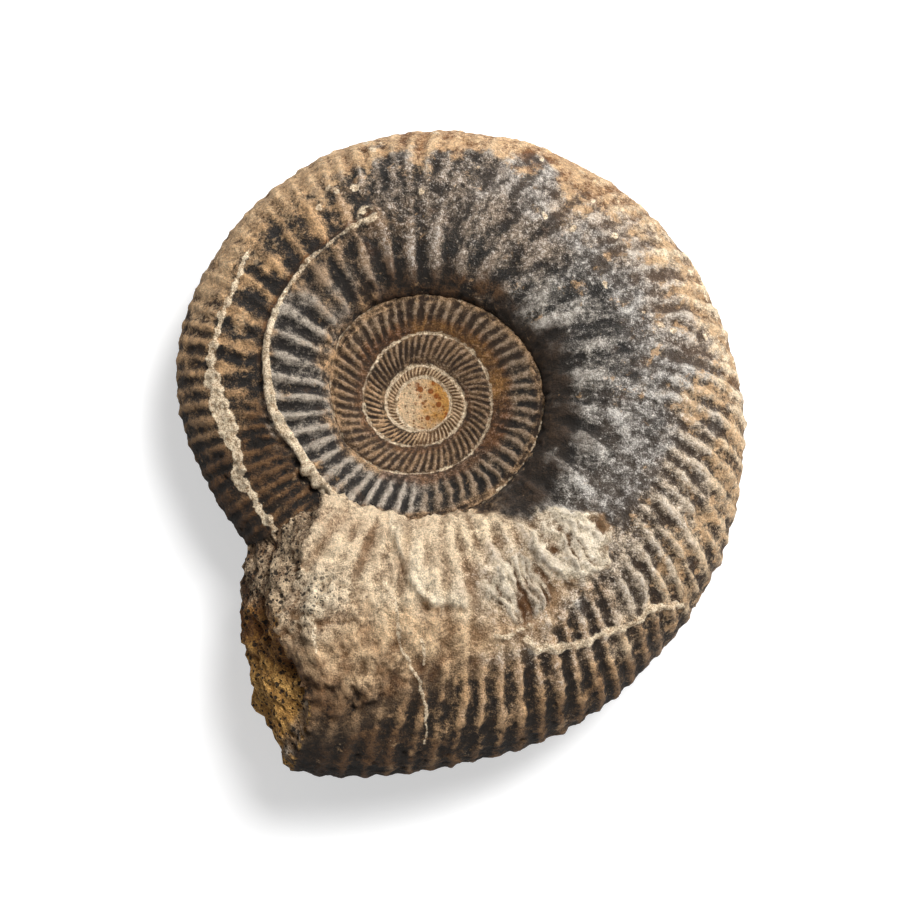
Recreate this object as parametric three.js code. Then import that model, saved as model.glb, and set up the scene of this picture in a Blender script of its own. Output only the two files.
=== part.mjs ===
// An ammonite fossil: the stone cast of a coiled shell, with its last turn broken off
// square near the opening. It is one solid piece of rock, lying on its side.
//
// Everything is worked out on the coil first: the coil axis is Z, both sides are alike,
// and a place on the shell is a turn number and a share of the whorl's height. Turn 0 is
// at the break, turn -1 lies one whole turn further in, and so on down to the core.
// The finished coil is then tipped on to the table, where its two high flanks rest.
import * as THREE from "three";
import { ParametricGeometry } from "three/addons/geometries/ParametricGeometry.js";
import { mergeGeometries, mergeVertices } from "three/addons/utils/BufferGeometryUtils.js";

// Driving dimensions, in millimetres, turns and shares of the whorl's height.
const outerRadius = 90; // coil axis to the outer edge, at the break
const seamRadius = 33.9; // coil axis to the seam with the turn inside, at the break
const halfThickness = 23.8; // mid-plane to the top of the flank, at the break
const growth = 1.68; // each turn is this many times as large as the one inside it
const coreRadius = 6.3; // the plug of rock that fills the first turns
const coreDome = 0.5; // how far the plug stands above its rim
const breakAngle = 240; // where turn 0 lies, in degrees, anticlockwise from +X

const seamWander = 0.1; // the seam swings this share in and out, once a turn
const seamWanderPhase = 0.6; // turns back from the break to where it swings furthest out
const seamHeight = 0.52; // height of the seam, as a share of the flank's
const wallPower = 2.3; // how square the wall of the hollow is
const crestAt = 0.32; // share of the whorl's height where the flank is highest
const flankPower = 2.3; // how square the flank is, out to the outer edge
const archHeight = 0.25; // how far an inner whorl arches, as a share of the flank's height
const groovePart = 0.07; // turns over which the seam groove fades, past the break
const wornEdge = { at: -0.915, wide: 0.12, depth: 0.042 }; // a flat on the outer edge
const endFlare = 0.033; // share by which the outer edge swells at the break

// Where the seam runs further out or in than the wander takes it: turn, reach and share.
const seamDents = [
  { at: -2.9, wide: 0.22, by: 0.2 },
  { at: -2.47, wide: 0.18, by: -0.13 },
  { at: -1.9, wide: 0.2, by: 0.12 },
  { at: -1.36, wide: 0.22, by: -0.06 },
  { at: -0.95, wide: 0.13, by: 0.06 },
  { at: -0.53, wide: 0.22, by: -0.12 },
];

// How the broken end slants, as turns added at three places: the seam, the line that the
// lost whorl's seam would have taken, and the outer edge.
const breakReach = 0.15; // turns over which the slant fades
const endLean = { seam: 0.039, middle: 0.0084, edge: -0.029 };
const startLean = { middle: 0.039, edge: 0.057 };
const breakBulge = 5.5; // how far the broken face swells outwards

const rimHeight = 1.1; // ridge left where the lost whorl's seam ran
const rimWidth = 0.05; // its half width, as a share of the whorl's height
const rimEnd = -0.6; // the turn where the ridge dies out
const rimStart = -0.96; // and the turn where it begins

const restTilt = -2.75; // degrees about X that the coil leans, lying on its two high flanks
const restRoll = 1.5; // and degrees about Y
const wornFlat = 0.9; // how much is worn off where it rests

// How finely the surface is drawn.
const stepsPerTurn = 84;
const stepsInner = 4; // across the part of a whorl inside the next seam
const stepsOuter = 14; // from that seam, over the outer edge, to the same seam below
const stepsBreak = 5;

const { cos, sin, max, min, abs, sqrt, asin, PI } = Math;
const mix = (a, b, share) => a + (b - a) * share;
const smooth = (a, b, value) => {
  const share = min(1, max(0, (value - a) / (b - a)));
  return share * share * (3 - 2 * share);
};
const hump = (value, reach) => (abs(value) < reach ? (1 - (value / reach) ** 2) ** 2 : 0);

// Radii and heights along the spiral.
function seamAt(t) {
  let swing = 1 + seamWander * cos(2 * PI * (t + seamWanderPhase));
  for (const dent of seamDents) swing += dent.by * hump(t - dent.at, dent.wide);
  return seamRadius * growth ** t * swing;
}
function edgeAt(t) {
  const worn = wornEdge.depth * hump(t - wornEdge.at, wornEdge.wide);
  return outerRadius * growth ** t * (1 - worn + endFlare * smooth(-0.1, -0.02, t));
}
const flankAt = (t) => halfThickness * growth ** t;
const seamHeightAt = (t) => seamHeight * flankAt(t);

// The turn whose seam is as far out as the core's rim, rounded to a whole step.
function findCoreTurn() {
  let t = -2;
  while (seamAt(t) > coreRadius) t -= 1 / stepsPerTurn;
  return Math.round(t * stepsPerTurn) / stepsPerTurn;
}
const coreTurn = findCoreTurn();
const firstTurn = coreTurn - 1;

// Height of a free whorl's flank at a share of its height, from the seam to the edge.
function flankHeight(t, x) {
  if (x < crestAt) {
    const rise = (1 - (1 - x / crestAt) ** wallPower) ** (1 / wallPower);
    return mix(seamHeightAt(t), flankAt(t), rise);
  }
  const out = min(1, (x - crestAt) / (1 - crestAt));
  return flankAt(t) * (1 - out ** flankPower) ** (1 / flankPower);
}

function onCoil(t, radius, height, target) {
  const angle = THREE.MathUtils.degToRad(breakAngle - 360 * t);
  return target.set(radius * cos(angle), radius * sin(angle), height);
}

// How much of the seam groove is left on the outer side of a turn.
const grooveAt = (turn) => 1 - smooth(-1, -1 + groovePart, turn);

// The ridge along the lost whorl's seam.
function rim(t, away) {
  const along = smooth(rimStart, rimStart + 0.03, t) * (1 - smooth(rimEnd - 0.04, rimEnd, t));
  return rimHeight * along * hump(away, rimWidth);
}

// The part of a whorl between its own seam and the next one: side is +1 above, -1 below.
function innerBand(side) {
  return (u, v, target) => {
    const turn = mix(firstTurn, 0, u);
    const leanIn = endLean.seam * hump(turn, breakReach);
    const leanOut =
      endLean.seam * hump(turn + 1, breakReach) + endLean.middle * hump(turn, breakReach);
    const t = turn + mix(leanIn, leanOut, v);
    const inner = max(t, coreTurn);
    const share = v ** 1.35;
    const radius = mix(seamAt(inner), seamAt(max(t, firstTurn) + 1), share);
    const low = seamHeightAt(inner);
    const high = seamHeightAt(max(t, firstTurn) + 1);
    const arch = (share ** 0.6 * sqrt(1 - share)) / 0.469;
    const lift = archHeight * min(flankAt(t), high) * smooth(firstTurn, coreTurn, turn);
    const covered = mix(low, high, share) + lift * arch;
    const x = max(0, (radius - seamAt(t)) / (edgeAt(t) - seamAt(t)));
    const free = turn > -1 ? flankHeight(t, x) + rim(t, (1 - v) * 0.4) : 0;
    const height = turn > -1 ? mix(free, covered, grooveAt(turn)) : covered;
    return onCoil(t, radius, side * height, target);
  };
}

// The last turn's outer part: from the lost whorl's seam above, over the edge, to the
// same seam below.
function outerBand(u, v, target) {
  const turn = mix(-1, 0, u);
  const side = v <= 0.5 ? 1 : -1;
  const down = 1 - abs(2 * v - 1); // 0 at either seam, 1 at the outer edge
  const lean =
    mix(startLean.middle, startLean.edge, down) * hump(turn + 1, breakReach) +
    mix(endLean.middle, endLean.edge, smooth(0.05, 0.5, down)) * hump(turn, breakReach);
  const t = turn + lean;
  const seamX = (seamAt(t + 1) - seamAt(t)) / (edgeAt(t) - seamAt(t));
  const from = asin(((seamX - crestAt) / (1 - crestAt)) ** (flankPower / 2));
  const bend = mix(from, PI / 2, down);
  const out = sin(bend) ** (2 / flankPower);
  const radius = mix(seamAt(t), edgeAt(t), crestAt + (1 - crestAt) * out);
  const free = flankAt(t) * max(0, cos(bend)) ** (2 / flankPower) + rim(t, down * 0.4);
  const groove = grooveAt(turn) * (1 - smooth(0, 0.3, down));
  const height = down >= 1 ? 0 : mix(free, seamHeightAt(t + 1), groove);
  return onCoil(t, radius, side * height, target);
}

// The broken end: a rough face ruled from the last whorl's section to the turn inside.
// Its inner side snaps to the outer band's own points, so that the two meet exactly.
const lipSteps = 2 * stepsInner + stepsOuter;
function lip(step, target) {
  if (step <= stepsInner) return innerBand(1)(1, step / stepsInner, target);
  const outerEnd = stepsInner + stepsOuter;
  if (step >= outerEnd) return innerBand(-1)(1, (lipSteps - step) / stepsInner, target);
  return outerBand(1, (step - stepsInner) / stepsOuter, target);
}
const heel = new THREE.Vector3();
function breakFace(u, v, target) {
  const step = Math.round(u * lipSteps);
  lip(step, target);
  if (v === 0) return target;
  const exact = (step / lipSteps) * stepsOuter;
  outerBand(0, (v === 1 ? Math.round(exact) : exact) / stepsOuter, heel);
  target.lerp(heel, v);
  target.x -= breakBulge * sin(PI * v) * sin(PI * u);
  return target;
}

// The plug of rock in the middle, domed a little.
function corePlug(side) {
  return (u, v, target) => {
    const turn = mix(firstTurn, coreTurn, u);
    const height = seamHeightAt(coreTurn) + coreDome * (1 - v * v);
    return onCoil(turn, v * seamAt(coreTurn), side * height, target);
  };
}

// One patch of the surface with only its positions, so that neighbours merge into one.
function patch(shape, along, across, flipped) {
  const geometry = new ParametricGeometry(shape, along, across);
  geometry.deleteAttribute("normal");
  geometry.deleteAttribute("uv");
  if (flipped) geometry.setIndex([...geometry.index.array].reverse());
  return geometry;
}

// Triangles that lost a corner when their neighbours merged are dropped.
function withoutSlivers(geometry) {
  const corners = geometry.index.array;
  const kept = [];
  for (let i = 0; i < corners.length; i += 3) {
    const [a, b, c] = corners.slice(i, i + 3);
    if (a !== b && b !== c && c !== a) kept.push(a, b, c);
  }
  return geometry.setIndex(kept);
}

// Tips the coil on to its resting flanks, wears those flat and sets them on Z = 0, with the
// middle of the whole stone on the Z axis.
function layDown(geometry) {
  geometry.rotateX(THREE.MathUtils.degToRad(restTilt));
  geometry.rotateY(THREE.MathUtils.degToRad(restRoll));
  geometry.computeBoundingBox();
  geometry.translate(0, 0, -geometry.boundingBox.min.z - wornFlat);
  const points = geometry.getAttribute("position");
  for (let i = 0; i < points.count; i++) points.setZ(i, max(0, points.getZ(i)));
  geometry.computeBoundingBox();
  const middle = geometry.boundingBox.getCenter(new THREE.Vector3());
  return geometry.translate(-middle.x, -middle.y, 0);
}

const innerSteps = Math.round(-firstTurn * stepsPerTurn);
const patches = [
  patch(innerBand(1), innerSteps, stepsInner, false),
  patch(innerBand(-1), innerSteps, stepsInner, true),
  patch(outerBand, stepsPerTurn, stepsOuter, false),
  patch(breakFace, lipSteps, stepsBreak, true),
  patch(corePlug(1), stepsPerTurn, 2, false),
  patch(corePlug(-1), stepsPerTurn, 2, true),
];
const mergeReach = 0.002; // patches meet to well within this
const surface = layDown(withoutSlivers(mergeVertices(mergeGeometries(patches), mergeReach)));

const stone = new THREE.MeshStandardMaterial({ color: 0x7d6a56, roughness: 0.78, metalness: 0 });
const ammonite = new THREE.Mesh(surface.toNonIndexed(), stone);
ammonite.name = "ammonite";
ammonite.geometry.computeVertexNormals();

const fossil = new THREE.Group();
fossil.add(ammonite);

export default fossil;
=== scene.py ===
import itertools
import math
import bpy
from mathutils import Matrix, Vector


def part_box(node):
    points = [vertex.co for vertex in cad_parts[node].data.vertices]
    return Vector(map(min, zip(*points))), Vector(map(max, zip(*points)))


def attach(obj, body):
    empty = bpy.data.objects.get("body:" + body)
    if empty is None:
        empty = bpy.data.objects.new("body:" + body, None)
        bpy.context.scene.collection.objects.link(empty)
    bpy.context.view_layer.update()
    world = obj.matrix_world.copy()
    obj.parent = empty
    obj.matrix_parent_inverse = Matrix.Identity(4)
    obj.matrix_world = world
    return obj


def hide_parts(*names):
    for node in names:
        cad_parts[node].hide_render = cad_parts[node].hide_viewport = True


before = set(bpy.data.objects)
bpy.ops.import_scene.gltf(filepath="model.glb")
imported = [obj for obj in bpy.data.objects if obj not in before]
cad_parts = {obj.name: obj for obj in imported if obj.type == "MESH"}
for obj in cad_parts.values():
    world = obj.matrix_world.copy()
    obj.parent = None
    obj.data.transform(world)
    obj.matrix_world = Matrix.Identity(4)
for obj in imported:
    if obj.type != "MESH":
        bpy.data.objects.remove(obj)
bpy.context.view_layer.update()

from types import SimpleNamespace

import bmesh
import bpy
import numpy as np
from mathutils import Matrix, Vector

# An ammonite fossil on its side: one stone, with ribbed whorls, a limestone crust and a broken end.
# The coil is worked out in millimetres round its own axis, then tipped on to the table in metres.
mm = 0.001

coil = {
    "edge": 90.0,  # coil axis to the outer edge, at the break
    "seam": 33.9,  # coil axis to the seam with the turn inside
    "thick": 23.8,  # mid-plane to the top of the flank
    "growth": 1.68,  # each turn is this many times the one inside it
    "core": 6.3,
    "coreDome": 0.7,
    "breakAngle": 240.0,  # degrees, where turn 0 lies
    "wander": 0.1,  # the seam swings in and out once a turn
    "wanderTurn": 0.6,
    "seamHeight": 0.52,
    "wallPower": 2.3,
    "crestAt": 0.32,
    "flankPower": 2.3,
    "arch": 0.25,
    "grooveTurns": 0.07,
    "wornAt": -0.915,
    "wornWide": 0.12,
    "wornDepth": 0.042,
    "endFlare": 0.033,
    "breakReach": 0.15,  # turns over which the slant of the break fades
    "endSeam": 0.039,
    "endMiddle": 0.0084,
    "endEdge": -0.029,
    "startEdge": 0.057,
    "breakBulge": 5.5,
    "tilt": -2.75,  # degrees about X, then about Y, that it leans when it lies down
    "roll": 1.5,
}

# where the seam runs further out or in: turn, reach and share
seamDents = [
    (-2.9, 0.22, 0.2),
    (-2.47, 0.18, -0.13),
    (-1.9, 0.2, 0.12),
    (-1.36, 0.22, -0.06),
    (-0.95, 0.13, 0.06),
    (-0.53, 0.22, -0.12),
]

mesh = {
    "steps": 840,  # steps in one turn
    "coreSteps": 84,  # the core's turn is rounded to one of these
    "innerTop": 30,
    "outerTop": 92,
    "outerUnder": 42,
    "innerUnder": 10,
    "breakRows": 30,
    "plugRows": 14,
    "faces": 192000,  # triangles kept
}

rotated = np.array([[0.36, 0.48, -0.8], [-0.8, 0.6, 0.0], [0.48, 0.64, 0.6]])


# small helpers for arrays
def mix(a, b, share):
    return a + (b - a) * share


def smooth(a, b, value):
    share = np.clip((value - a) / (b - a), 0, 1)
    return share * share * (3 - 2 * share)


def hump(value, reach):
    return np.clip(1 - (value / reach) ** 2, 0, 1) ** 2


def band(value, a, b, soft):
    return smooth(a - soft, a + soft, value) * (1 - smooth(b - soft, b + soft, value))


def hashCells(cells, seed):
    h = cells[:, 0] * 73856093 ^ cells[:, 1] * 19349663 ^ cells[:, 2] * 83492791 ^ seed * 26544357
    h = (h ^ (h >> 13)) * 1274126177
    return ((h ^ (h >> 16)) & 0xFFFF) / 65535


def valueNoise(points, size, seed):
    # smooth noise from -1 to 1
    scaled = points / size
    cell = np.floor(scaled).astype(np.int64)
    part = scaled - cell
    part = part * part * (3 - 2 * part)
    total = np.zeros(len(points))
    for corner in itertools.product((0, 1), repeat=3):
        share = np.prod(np.where(corner, part, 1 - part), axis=1)
        total += share * (2 * hashCells(cell + corner, seed) - 1)
    return total


def fractal(points, size, seed, octaves=3):
    total = np.zeros(len(points))
    weight = 1.0
    for octave in range(octaves):
        total += weight * valueNoise(points, size, seed + octave)
        points = points @ rotated
        size /= 2.03
        weight *= 0.55
    return total


def scatter(points, size, seed):
    # distance to the nearest scattered point, as a share of size, and that point's own random number
    scaled = points / size
    cell = np.floor(scaled).astype(np.int64)
    nearest = np.full(len(points), 9.0)
    own = np.zeros(len(points))
    for corner in itertools.product((-1, 0, 1), repeat=3):
        home = cell + corner
        offset = np.stack([hashCells(home, seed + k) for k in range(3)], axis=1)
        gap = np.linalg.norm(home + offset - scaled, axis=1)
        closer = gap < nearest
        nearest = np.where(closer, gap, nearest)
        own = np.where(closer, hashCells(home, seed + 7), own)
    return nearest, own


# the spiral
def seamAt(t):
    swing = 1 + coil["wander"] * np.cos(2 * np.pi * (t + coil["wanderTurn"]))
    for at, wide, by in seamDents:
        swing = swing + by * hump(t - at, wide)
    return coil["seam"] * coil["growth"] ** t * swing


def edgeAt(t):
    worn = coil["wornDepth"] * hump(t - coil["wornAt"], coil["wornWide"])
    return coil["edge"] * coil["growth"] ** t * (1 - worn + coil["endFlare"] * smooth(-0.1, -0.02, t))


def flankAt(t):
    return coil["thick"] * coil["growth"] ** t


def seamHeightAt(t):
    return coil["seamHeight"] * flankAt(t)


def findCoreTurn():
    t = -2.0
    while seamAt(t) > coil["core"]:
        t -= 1 / mesh["coreSteps"]
    return round(t * mesh["coreSteps"]) / mesh["coreSteps"]


coreTurn = findCoreTurn()
firstTurn = coreTurn - 1


def flankHeight(t, x):
    crest = coil["crestAt"]
    near = np.clip(1 - x / crest, 0, 1)
    rise = (1 - near ** coil["wallPower"]) ** (1 / coil["wallPower"])
    far = np.clip((x - crest) / (1 - crest), 0, 1)
    fall = (1 - far ** coil["flankPower"]) ** (1 / coil["flankPower"])
    return np.where(x < crest, mix(seamHeightAt(t), flankAt(t), rise), flankAt(t) * fall)


def onCoil(t, radius, height):
    angle = np.radians(coil["breakAngle"] - 360 * t)
    return np.stack([radius * np.cos(angle), radius * np.sin(angle), height], axis=1)


def grooveLeft(turn):
    return 1 - smooth(-1, -1 + coil["grooveTurns"], turn)


def acrossOf(t, radius):
    return (radius - seamAt(t)) / (edgeAt(t) - seamAt(t))


# the patches of the surface: each gives place, turn and how far across the whorl
def innerBand(turn, v, side):
    reach = coil["breakReach"]
    leanIn = coil["endSeam"] * hump(turn, reach)
    leanOut = coil["endSeam"] * hump(turn + 1, reach) + coil["endMiddle"] * hump(turn, reach)
    t = turn + mix(leanIn, leanOut, v)
    inner = np.maximum(t, coreTurn)
    outer = np.maximum(t, firstTurn) + 1
    share = 0.5 - 0.5 * np.cos(np.pi * v)
    radius = mix(seamAt(inner), seamAt(outer), share)
    arch = share**0.6 * np.sqrt(1 - share) / 0.469
    lift = coil["arch"] * np.minimum(flankAt(t), seamHeightAt(outer)) * smooth(firstTurn, coreTurn, turn)
    covered = mix(seamHeightAt(inner), seamHeightAt(outer), share) + lift * arch
    across = acrossOf(t, radius)
    free = flankHeight(t, across)
    height = np.where(turn > -1, mix(free, covered, grooveLeft(turn)), covered)
    return onCoil(t, radius, side * height), t, across, share


def outerBand(turn, down, side):
    reach = coil["breakReach"]
    crest = coil["crestAt"]
    lean = mix(coil["endSeam"], coil["startEdge"], down) * hump(turn + 1, reach)
    lean += mix(coil["endMiddle"], coil["endEdge"], smooth(0.05, 0.5, down)) * hump(turn, reach)
    t = turn + lean
    lostSeam = (acrossOf(t, seamAt(t + 1)) - crest) / (1 - crest)
    bend = mix(np.arcsin(lostSeam ** (coil["flankPower"] / 2)), np.pi / 2, down)
    out = np.sin(bend) ** (2 / coil["flankPower"])
    radius = mix(seamAt(t), edgeAt(t), crest + (1 - crest) * out)
    free = flankAt(t) * np.clip(np.cos(bend), 0, 1) ** (2 / coil["flankPower"])
    groove = grooveLeft(turn) * (1 - smooth(0, 0.3, down))
    height = np.where(down >= 1, 0, mix(free, seamHeightAt(t + 1), groove))
    across = acrossOf(t, radius)
    return onCoil(t, radius, side * height), t, across, np.ones_like(t)


def breakFace(u, v, side):
    innerRows = mesh["innerTop"] if side > 0 else mesh["innerUnder"]
    outerRows = mesh["outerTop"] if side > 0 else mesh["outerUnder"]
    step = np.round(u * (innerRows + outerRows))
    zero = np.zeros_like(u)
    lipIn = innerBand(zero, np.clip(step / innerRows, 0, 1), side)[0]
    lipOut = outerBand(zero, np.clip((step - innerRows) / outerRows, 0, 1), side)[0]
    lip = np.where((step <= innerRows)[:, None], lipIn, lipOut)
    snapped = np.round(u * outerRows) / outerRows
    heel = outerBand(zero - 1, np.where(v >= 1, snapped, u), side)[0]
    place = mix(lip, heel, v[:, None])
    place[:, 0] -= coil["breakBulge"] * np.sin(np.pi * v) * np.sin(np.pi / 2 * u)
    return place, zero, u, v


def corePlug(turn, v, side):
    height = seamHeightAt(coreTurn) + coil["coreDome"] * (1 - v**3)
    return onCoil(turn, v * seamAt(coreTurn), side * height), turn, v, v


def addObject(name, data):
    made = bpy.data.objects.new(name, data)
    bpy.context.scene.collection.objects.link(made)
    return made


def makeSkin():
    # one grid for each patch, bent into place, and all of them welded along their edges
    turns = -firstTurn
    patches = [
        (innerBand, firstTurn, 0, round(turns * mesh["steps"]), mesh["innerTop"], 1, 0),
        (innerBand, firstTurn, 0, round(turns * mesh["steps"]), mesh["innerUnder"], -1, 0),
        (outerBand, -1, 0, mesh["steps"], mesh["outerTop"], 1, 1),
        (outerBand, -1, 0, mesh["steps"], mesh["outerUnder"], -1, 1),
        (breakFace, 0, 1, mesh["innerTop"] + mesh["outerTop"], mesh["breakRows"], 1, 2),
        (breakFace, 0, 1, mesh["innerUnder"] + mesh["outerUnder"], mesh["breakRows"], -1, 2),
        (corePlug, firstTurn, coreTurn, mesh["steps"], mesh["plugRows"], 1, 3),
        (corePlug, firstTurn, coreTurn, mesh["steps"], mesh["plugRows"], -1, 3),
    ]
    bm = bmesh.new()
    counts = []
    for shape, start, end, along, across, side, part in patches:
        made = bmesh.ops.create_grid(bm, x_segments=along, y_segments=across, size=1)
        counts.append(len(made["verts"]))
    skin = bpy.data.meshes.new("ammonite")
    bm.to_mesh(skin)
    bm.free()

    flat = np.empty(len(skin.vertices) * 3)
    skin.vertices.foreach_get("co", flat)
    flat = flat.reshape(-1, 3) / 2 + 0.5
    gathered = []
    for patch, own in zip(patches, np.split(flat, np.cumsum(counts)[:-1])):
        shape, start, end, along, across, side, part = patch
        u = mix(start, end, np.round(own[:, 0] * along) / along)
        v = np.round(own[:, 1] * across) / across
        place, turn, over, share = shape(u, v, side)
        kind = np.full(len(u), float(part))
        gathered.append((place, turn, over, share, kind, kind * 0 + side))
    place, turn, over, share, kind, side = (np.concatenate(rows) for rows in zip(*gathered))
    skin.vertices.foreach_set("co", place.ravel())
    for name, values in {"turn": turn, "across": over, "share": share, "part": kind, "side": side}.items():
        store(skin, name, values)

    bm = bmesh.new()
    bm.from_mesh(skin)
    bmesh.ops.remove_doubles(bm, verts=bm.verts, dist=0.002)
    bmesh.ops.recalc_face_normals(bm, faces=bm.faces)
    bm.to_mesh(skin)
    bm.free()
    print("skin:", len(skin.vertices), "vertices")
    return skin


def store(skin, name, values):
    # one number for each vertex, or a tint
    if values.ndim == 1:
        attribute = skin.attributes.get(name) or skin.attributes.new(name, "FLOAT", "POINT")
        attribute.data.foreach_set("value", values.astype(np.float32))
    else:
        attribute = skin.attributes.get(name) or skin.attributes.new(name, "FLOAT_COLOR", "POINT")
        opaque = np.column_stack([values, np.ones(len(values))])
        attribute.data.foreach_set("color", opaque.astype(np.float32).ravel())


def recall(skin, name):
    values = np.empty(len(skin.vertices), np.float32)
    skin.attributes[name].data.foreach_get("value", values)
    return values.astype(float)


def places(skin, what="co"):
    values = np.empty(len(skin.vertices) * 3, np.float32)
    if what == "co":
        skin.vertices.foreach_get("co", values)
    else:
        skin.vertex_normals.foreach_get("vector", values)
    return values.reshape(-1, 3).astype(float)


# Relief. Places are polar: degrees round the coil and millimetres from its axis.
ribs = {
    # turn and ribs in a turn, on the flanks and the inner whorls
    "primaries": [(-4.2, 60), (-2.0, 55), (-1.0, 50), (-0.7, 42), (-0.45, 30), (0.1, 28)],
    "secondaries": 90,  # ribs in a turn, over the outer edge
    "primaryHeight": 1.5,
    "secondaryHeight": 1.2,
    # turn and turns that a rib leans forward, from the seam to the outer edge
    "lean": [(-1.0, 0.004), (-0.62, 0.008), (-0.45, 0.028), (-0.25, 0.034), (-0.12, 0.018), (-0.03, 0.004)],
    "innerLean": [(-4.0, 0.02), (-2.2, 0.026), (-1.8, 0.014), (-1.0, 0.004)],
    # turn and strength, of the primary ribs on the flank and the secondary ones on the margin
    "onFlank": [(-1, 1.0), (-0.72, 0.9), (-0.6, 0.7), (-0.3, 0.75), (-0.16, 0.4), (0, 0.3)],
    "onMargin": [(-1, 0.8), (-0.8, 0.75), (-0.66, 0.5), (-0.5, 0.3), (-0.38, 0.65), (-0.2, 1), (-0.06, 0.9),
                 (0, 0.3)],
}

# the sediment in the seams, with turn and amount, and the folded band beside the outer seam
seams = {
    "half": (2.1, 1.9),  # on the inner whorls and on the outer one
    "height": 0.5,
    "lime": [(-3, 0.95), (-2.6, 0.7), (-2.3, 0.8), (-1.8, 0.8), (-1.4, 0.9), (-0.75, 0.85), (-0.65, 0.5),
             (-0.45, 0.5), (-0.36, 0.65), (-0.2, 0.9)],
    "wallLime": [(-2, 0.85), (-1.75, 0.9), (-1.6, 0.6), (-1.48, 0.7), (-1.36, 1.0), (-1.2, 1.1), (-1.0, 1.0)],
    "flange": 3.3,
    "fold": 1.1,
}

# the ridge that the lost whorl's seam left: a flat band, with a groove outside it
rim = {
    "points": [(106, 43.9), (112, 43.1), (121, 42.0), (134, 41.4), (157, 39.7), (179, 36.9), (192, 34.8),
               (204, 32.7), (214, 32.5), (224, 32.4), (235, 31.6)],
    "half": [(106, 0.7), (150, 0.9), (175, 1.3), (205, 1.5), (235, 1.3)],
    "height": 1.1,
    "groove": [(135, 0.0), (160, 0.6), (180, 1.3), (215, 1.3), (228, 0.3)],
    "starts": (104, 108),
    "ends": (232, 238),
    "lime": [(106, 0.7), (130, 0.5), (150, 0.65), (172, 1), (235, 1)],
}

# the step where the outer shell ends, with a cream band of sediment along it
step = {
    "points": [(136, 55.5), (140, 53.9), (146, 51.8), (155, 50.8), (164, 50.4), (171, 50.3), (181, 48.1),
               (190, 45.8), (203, 46.5), (211, 47.0), (225, 47.4)],
    "inner": [(138, 0.1), (170, 0.3), (178, 0.8), (185, 1.8), (192, 1.2), (200, 0.6), (225, 0.6)],
    "outer": [(138, 0.4), (150, 0.8), (165, 0.9), (175, 1.3), (184, 2.4), (192, 2.6), (200, 1.6), (210, 1.1),
              (225, 0.6)],
    "height": 0.9,
    "starts": (136, 143),
    "ends": (222, 228),
}

lines = {
    "lowerRidge": {
        "points": [(321, 76.8), (320, 75.6), (316, 72.6), (310, 71.0), (305, 69.3), (300, 68.1), (296, 67.2),
                   (293, 65.5), (291, 62.5)],
        "half": 1.3, "height": 0.9, "wobble": 0.9, "lime": 0.95,
    },
    "wiggle": {
        "points": [(293, 60.5), (290, 59.4), (288, 60.6), (285, 59.6)],
        "half": 0.7, "height": 0.6, "wobble": 1.0, "lime": 0.9,
    },
    "crack": {
        "points": [(270, 81.4), (270, 72.9), (269, 67.7), (265, 61.8), (263, 57.7), (262, 52.9), (261, 49.6),
                   (257, 46.9)],
        "half": 0.55, "height": 0.4, "wobble": 0.6, "lime": 1.0,
    },
    "shortCrack": {
        "points": [(269, 64.1), (269, 61.2), (268, 58.2)],
        "half": 0.5, "height": 0.35, "wobble": 0.4, "lime": 0.9,
    },
    "lumpCrack": {
        "points": [(248, 66.0), (246, 61.0), (244, 56.5), (247, 52.0)],
        "half": 0.5, "height": 0.35, "wobble": 0.9, "lime": 0.9,
    },
}

spots = {
    "lump": {"at": (245.0, 63.0), "size": 8.5, "height": 2.6},
    "innerLump": {"at": (245.5, 56.5), "size": 7.5, "height": 1.4},
    "upperLump": {"at": (246.0, 45.0), "size": 6.0, "height": 1.2},
    "hollow": {"at": (244.5, 72.5), "size": 3.4, "height": -3.0},
    "ochreHole": {"at": (242.5, 53.3), "size": 2.4, "height": -1.8},
    "upperHole": {"at": (241.5, 40.6), "size": 1.8, "height": -1.2},
    "pit": {"at": (107, 35.5), "size": 1.9, "height": -1.6},
    "sidePit": {"at": (255, 66.5), "size": 2.2, "height": -1.2},
}

knob = {"at": (108.5, 44.6), "size": 2.0, "wide": 1.2, "height": 0.7}
overhang = {"at": (243.5, 62.5), "size": 9.0, "reach": 2.6, "towards": (-0.87, 0.49)}
crust = {"from": -0.152, "tongue": 0.06, "edge": 0.62, "thick": 0.8, "swells": 56}
oyster = {
    "at": (312.5, 48.9), "along": 8.6, "out": 9.6, "height": 1.5,
    "folds": 3.1, "run": 20.0, "hollow": (-4.5, -1.0),
}
striae = {"at": (294.5, 51.2), "along": 7.6, "out": 8.2, "height": 1.2, "spacing": 2.0, "run": -64.0}
flake = {
    "points": [(257, 36.0), (259, 38.7), (263, 43.5), (267, 48.5), (271, 51.3), (277, 51.6)],
    "step": 1.2, "fade": 8.0,
}
sponge = {"at": (242.5, 57.0), "reach": 13.0, "spacing": 1.9, "depth": 1.0}
crumbs = {"spacing": 4.4, "size": 0.3, "share": 0.62, "height": 0.35}


def polar(points):
    points = np.array(points, float).reshape(-1, 2)
    angle = np.radians(points[:, 0])
    return np.stack([points[:, 1] * np.cos(angle), points[:, 1] * np.sin(angle)], axis=1)


def lineDistance(plan, points):
    # distance to a line, and which side of it: above 0 on the left, walking from its first point
    corners = polar(points)
    best = np.full(len(plan), 1e3)
    left = np.zeros(len(plan))
    for start, end in zip(corners, corners[1:]):
        run = end - start
        off = plan - start
        share = np.clip(off @ run / (run @ run), 0, 1)
        gap = np.linalg.norm(off - share[:, None] * run, axis=1)
        nearer = gap < best
        left = np.where(nearer, run[0] * off[:, 1] - run[1] * off[:, 0], left)
        best = np.where(nearer, gap, best)
    return best, np.sign(left) * best


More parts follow.
